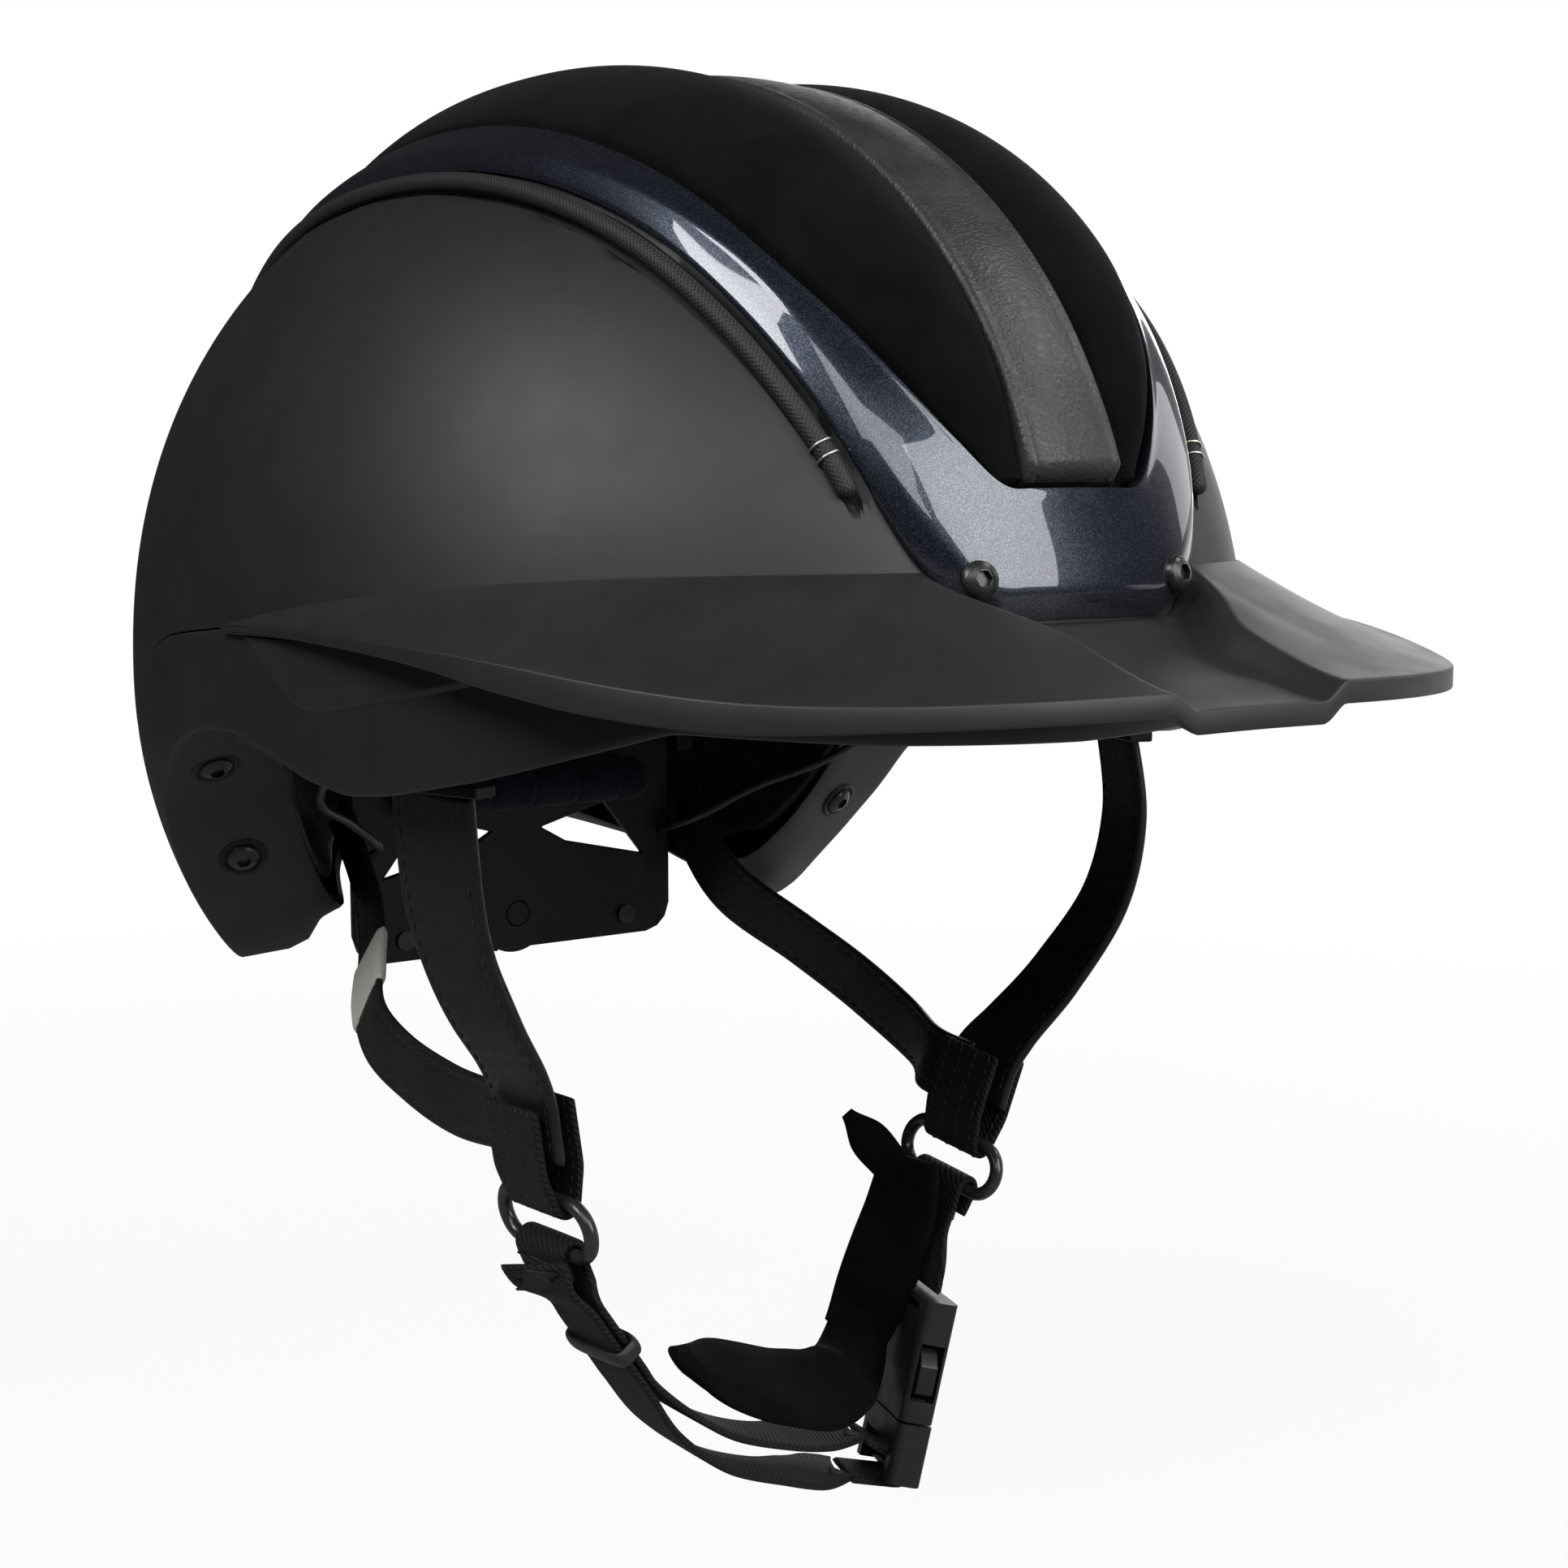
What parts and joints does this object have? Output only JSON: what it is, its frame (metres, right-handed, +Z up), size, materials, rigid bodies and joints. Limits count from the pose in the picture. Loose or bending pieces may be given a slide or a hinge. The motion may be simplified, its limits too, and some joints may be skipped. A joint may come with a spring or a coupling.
{
  "type": "equestrian riding helmet",
  "caption": "Riding helmet with visor, glossy centre frame, suede and leather insert, rear dial cradle, leather cheek straps and a buckled chin strap.",
  "frame": {"origin": "middle of the head opening, level with the side rim where the front straps come out", "axes": "+X to the wearer's left, -Y to the front, +Z up"},
  "size_m": [0.2128, 0.3249, 0.3081],
  "materials": {
    "shell": "matte dark grey",
    "foam": "black expanded foam",
    "frame": "glossy navy with fine metallic flake",
    "suede": "deep black suede",
    "strip_leather": "dark grey fine-grain leather",
    "cord": "braided black cord",
    "band_metal": "thin silver thread",
    "screw": "satin black",
    "lining": "navy-black padded lining",
    "black_plastic": "satin black plastic",
    "cable": "grey cable sheath",
    "strap_leather": "dark grey leather, stitched edges",
    "rear_leather": "dark grey leather, stitched edges",
    "tag": "light grey woven tag, blank",
    "webbing": "black twill webbing",
    "ring": "smooth dark plastic ring",
    "buckle": "satin black plastic",
    "rubber": "black rubber band"
  },
  "bodies": {
    "helmet": {"top_shell": "shell", "lower_shell": "shell", "eps_liner": "foam", "visor": "shell", "centre_frame": "frame", "frame_screws": "screw", "suede_panel_right": "suede", "suede_panel_left": "suede", "centre_strip": "strip_leather", "trim_cord_right": "cord", "trim_cord_left": "cord", "cord_bands": "band_metal", "lobe_screws": "screw", "brow_pad": "lining", "crown_pad": "lining", "temple_pad_right": "lining", "temple_pad_left": "lining", "cable_guide_right": "black_plastic", "cable_guide_left": "black_plastic", "tension_cable_right": "cable", "tension_cable_left": "cable", "front_anchor_right": "black_plastic", "front_anchor_left": "black_plastic", "rear_anchor_right": "black_plastic", "rear_anchor_left": "black_plastic", "front_strap_right": "strap_leather", "front_strap_left": "strap_leather", "rear_strap_right": "rear_leather", "rear_strap_left": "rear_leather", "care_tag": "tag"},
    "cradle": {"cradle_plate": "black_plastic", "cradle_rivets": "screw", "cradle_pad": "lining", "dial_housing": "black_plastic"},
    "dial": {"dial_knob": "black_plastic"},
    "chin_strap": {"strap_fold_right": "webbing", "strap_fold_left": "webbing", "ring_right": "ring", "ring_left": "ring", "chin_webbing": "webbing", "webbing_tail": "webbing", "chin_pad": "suede", "buckle_sleeve": "suede", "buckle_tab": "webbing", "buckle_socket": "buckle"},
    "keeper": {"keeper_ring": "rubber"},
    "plug": {"buckle_plug": "buckle", "plug_wrap": "webbing"},
    "front_prong": {"prong_front": "buckle"},
    "rear_prong": {"prong_rear": "buckle"}
  },
  "joints": [
    {"name": "dial_spin", "type": "hinge", "parent": "cradle", "child": "dial", "pos_m": [0, 0.0684, -0.05], "axis": [0, -1, 0], "range_deg": [-75, 190]},
    {"name": "cradle_slide", "type": "slide", "parent": "helmet", "child": "cradle", "axis": [0, -1, 0], "range_m": [-0.0034, 0.0094], "deforming": ["tension_cable_right", "tension_cable_left"]},
    {"name": "chin_swing", "type": "hinge", "parent": "helmet", "child": "chin_strap", "pos_m": [-0.06, -0.05, -0.07], "axis": [0.9902, 0.1136, -0.0812], "range_deg": [-10, 10]},
    {"name": "keeper_slide", "type": "slide", "parent": "chin_strap", "child": "keeper", "axis": [0.568, 0.0501, -0.8215], "range_m": [-0.004, 0.004]},
    {"name": "plug_release", "type": "slide", "parent": "chin_strap", "child": "plug", "axis": [-0.2651, 0, -0.9642], "range_m": [0, 0.022], "deforming": ["prong_front", "prong_rear"]},
    {"name": "front_prong_flex", "type": "hinge", "parent": "plug", "child": "front_prong", "pos_m": [0.03474, -0.0486, -0.15039], "axis": [-0.8981, 0.3641, 0.2469], "range_deg": [0, 5], "stiffness_Nm_per_rad": 0.02},
    {"name": "rear_prong_flex", "type": "hinge", "parent": "plug", "child": "rear_prong", "pos_m": [0.04084, -0.0324, -0.15207], "axis": [0.8981, -0.3641, -0.2469], "range_deg": [0, 6], "stiffness_Nm_per_rad": 0.02}
  ],
  "couplings": [
    {"joint": "dial_spin", "follows": "cradle_slide", "rad_per_m": 333.33},
    {"joint": "rear_prong_flex", "follows": "front_prong_flex", "ratio": 1}
  ]
}
